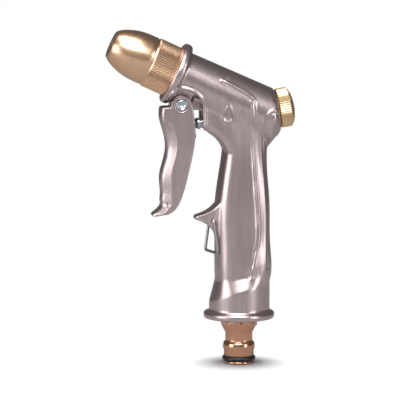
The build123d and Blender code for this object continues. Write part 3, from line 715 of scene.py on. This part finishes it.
# %% Inlet tail
TAIL_BORE = 4.8
COLLAR_BOTTOM = 19.65
COLLAR_HEIGHT = 3.6
COLLAR_RADIUS = 9.6  # across the corners
tail_outline = [
    (TAIL_BORE, 0.4),
    (5.2, 0.0),
    (7.0, 0.0),
    (7.35, 0.15),
    (7.5, 0.5),
    (7.5, 1.35),
    (5.95, 1.35),
    (5.95, 4.05),
    (7.5, 4.05),
    (7.6, 4.2),
    (7.6, 6.9),
    (7.7, 7.3),
    (8.0, 7.7),
    (8.1, 8.3),
    (8.1, 9.2),
    (8.0, 9.9),
    (7.75, 10.8),
    (7.4, 11.2),
    (6.95, 11.5),
    (6.9, 12.0),
    (6.9, 15.6),
    (7.0, 16.1),
    (7.4, 16.8),
    (8.7, 19.3),
    (8.9, 19.7),
    (8.9, 23.3),
    (8.3, 23.3),
    (8.3, 35.0),
    (TAIL_BORE, 35.0),
]
tail_bm = turned(tail_outline, 96)
collar_place = Matrix.Translation((0, 0, COLLAR_BOTTOM * MM)) @ Matrix.Rotation(pi / 8, 4, "Z")
collar = bmesh.ops.create_circle(
    tail_bm, cap_ends=True, segments=8, radius=COLLAR_RADIUS * MM, matrix=collar_place
)
collar_face = next(iter(set(collar["verts"][0].link_faces)))
raised = bmesh.ops.extrude_face_region(tail_bm, geom=[collar_face])
top = [v for v in raised["geom"] if isinstance(v, bmesh.types.BMVert)]
bmesh.ops.translate(tail_bm, vec=(0, 0, COLLAR_HEIGHT * MM), verts=top)
collar_edges = list({e for v in top + collar["verts"] for e in v.link_edges})
bmesh.ops.bevel(
    tail_bm,
    geom=collar_edges,
    offset=0.35 * MM,
    segments=2,
    profile=0.5,
    affect="EDGES",
    material=-1,
)
bmesh.ops.recalc_face_normals(tail_bm, faces=tail_bm.faces)
as_piece(to_mesh(tail_bm, "tail_mesh"), "hose_tail", "inlet_tail", tail_brass)

# %% Seal ring
ring_bm = turned(arc(7.25, 2.7, 1.25, 0, 345, 24), 96)
ring_mesh = to_mesh(ring_bm, "ring_mesh")
as_piece(ring_mesh, "tail_seal_ring", "inlet_o_ring", black_rubber)

# %% [markdown]
# ## Rivet
# The trigger turns on a rivet. Each end is dimpled and turned over in the ear's recess, which
# leaves a bright rounded rim round the dimple.

# %% Rivet
rivet_place = Matrix.Translation(pivot) @ Matrix.Rotation(-pi / 2, 4, "X")
HEAD_FACE = 6.75
half_outline = [
    (0.0, HEAD_FACE + 0.15),
    (0.8, HEAD_FACE + 0.25),
    (1.3, HEAD_FACE + 0.75),
    *arc(2.15, HEAD_FACE + 0.35, 0.85, 150, 0, 9),
    (3.0, HEAD_FACE),
    (2.0, HEAD_FACE),
]
rivet_outline = half_outline + [(r, -z) for r, z in reversed(half_outline)]
rivet_bm = turned(rivet_outline, 48, rivet_place)
as_piece(to_mesh(rivet_bm, "rivet_mesh"), "trigger_rivet", "pivot_pin", rivet_steel)

# %% [markdown]
# ## Floor, background and light
# The gun stands on a pale studio floor that runs out to a white background with no horizon. The
# floor is plain grey near the gun, where it takes the soft shadow, and turns to the background's own
# white further out. The grey disc round the tail is also sized as a painted contact shadow, under the
# real one. Satin metal looks like what it mirrors, so there are soft boxes overhead, high in front
# and on both sides, a weak fill, and a darker room between them. A wide box on the left draws the
# bright band along the grip and the trigger. The plain Standard view keeps white as white, where
# Blender's default view would grey it.

# %% Floor
FLOOR_RADIUS = 4.0
# painted shadow: inside this reach the camera sees the grey diffuse floor, a disc sized as the contact shadow
# round the tail, which also takes the real shadow
SHADOW_REACH = (0.011, 0.024)  # metres from the tail's axis over which the plain floor ends
WHITE = 1.0
floor_bm = bmesh.new()
bmesh.ops.create_circle(floor_bm, cap_ends=True, segments=96, radius=FLOOR_RADIUS)
floor_mesh = to_mesh(floor_bm, "floor_mesh")
floor = bpy.data.objects.new("floor", floor_mesh)
bpy.context.scene.collection.objects.link(floor)
floor.location = (0, 0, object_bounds()[0][2] - 0.0002)
floor_paint = bpy.data.materials.new("white studio floor")
floor_paint.use_nodes = True
tree = floor_paint.node_tree
tree.nodes.clear()
spot = add_node(tree, "ShaderNodeTexCoord")
reach = add_node(tree, "ShaderNodeVectorMath", {0: spot.outputs["Object"]}, operation="LENGTH")
fade = add_node(
    tree,
    "ShaderNodeMapRange",
    {"Value": reach.outputs["Value"]},
    From_Min=SHADOW_REACH[0],
    From_Max=SHADOW_REACH[1],
)
# painted shade: this grey diffuse is the darker disc round the tail that stands for the contact shadow, with the
# real shadow falling on it as well
plain = add_node(tree, "ShaderNodeBsdfDiffuse", Color=(0.42, 0.42, 0.42, 1))
glow = add_node(tree, "ShaderNodeEmission", Color=(1, 1, 1, 1), Strength=WHITE)
direct = add_node(tree, "ShaderNodeLightPath")
share = add_node(
    tree,
    "ShaderNodeMath",
    {0: fade.outputs["Result"], 1: direct.outputs["Is Camera Ray"]},
    operation="MULTIPLY",
)
both = add_node(
    tree, "ShaderNodeMixShader", {0: share.outputs[0], 1: plain.outputs[0], 2: glow.outputs[0]}
)
add_node(tree, "ShaderNodeOutputMaterial", {"Surface": both.outputs[0]})
floor_mesh.materials.append(floor_paint)
print("floor at", floor.location.z)

# %% Background and room
bpy.context.scene.view_settings.view_transform = "Standard"
world = bpy.data.worlds.new("studio room")
bpy.context.scene.world = world
world.use_nodes = True
tree = world.node_tree
tree.nodes.clear()
rays = add_node(tree, "ShaderNodeLightPath")
room = add_node(tree, "ShaderNodeBackground", Color=(1.0, 0.97, 0.97, 1), Strength=0.13)
backdrop = add_node(tree, "ShaderNodeBackground", Color=(1, 1, 1, 1), Strength=WHITE)
seen = add_node(
    tree,
    "ShaderNodeMixShader",
    {0: rays.outputs["Is Camera Ray"], 1: room.outputs[0], 2: backdrop.outputs[0]},
)
add_node(tree, "ShaderNodeOutputWorld", {"Surface": seen.outputs[0]})


def soft_box(name, place, aim, width, height, watts):
    """Rectangular soft light, not seen by the camera itself."""
    lamp = bpy.data.lights.new(name, "AREA")
    lamp.shape = "RECTANGLE"
    lamp.size = width
    lamp.size_y = height
    lamp.energy = watts
    holder = bpy.data.objects.new(name, lamp)
    holder.location = place
    holder.rotation_euler = (Vector(aim) - Vector(place)).to_track_quat("-Z", "Y").to_euler()
    holder.visible_camera = False
    bpy.context.scene.collection.objects.link(holder)


CENTRE = Vector((-0.0199, 0.0, 0.0836))
soft_box("top box", (-0.2, -0.3, 1.3), CENTRE, 1.0, 0.5, 8)
soft_box("high front box", (-0.2, -0.95, 1.05), CENTRE, 1.0, 0.55, 17)
soft_box("left box", (-1.3, -0.6, 0.2), CENTRE, 0.7, 1.2, 11)
soft_box("front fill", (-0.4, -1.5, 0.3), CENTRE, 0.8, 1.0, 0.25)
soft_box("right box", (0.95, -0.98, 0.3), CENTRE, 0.3, 1.0, 6)
print("lights:", len(bpy.data.lights))

# %% [markdown]
# ## Camera
# A long lens from nearly side on and slightly above, as for a catalogue picture. The nozzle
# points a little towards the camera.

# %% Camera
AZIMUTH = -7.0
ELEVATION = 6.6
DISTANCE = 1.35
FRAME_WIDTH = 0.202
lens = bpy.data.cameras.new("camera")
lens.sensor_width = 36
lens.lens = 36 * DISTANCE / FRAME_WIDTH
camera = bpy.data.objects.new("camera", lens)
bpy.context.scene.collection.objects.link(camera)
a = radians(AZIMUTH)
e = radians(ELEVATION)
camera.location = CENTRE + DISTANCE * Vector((sin(a) * cos(e), -cos(a) * cos(e), sin(e)))
camera.rotation_euler = (CENTRE - camera.location).to_track_quat("-Z", "Y").to_euler()
bpy.context.scene.camera = camera
print("lens mm:", round(lens.lens, 1))
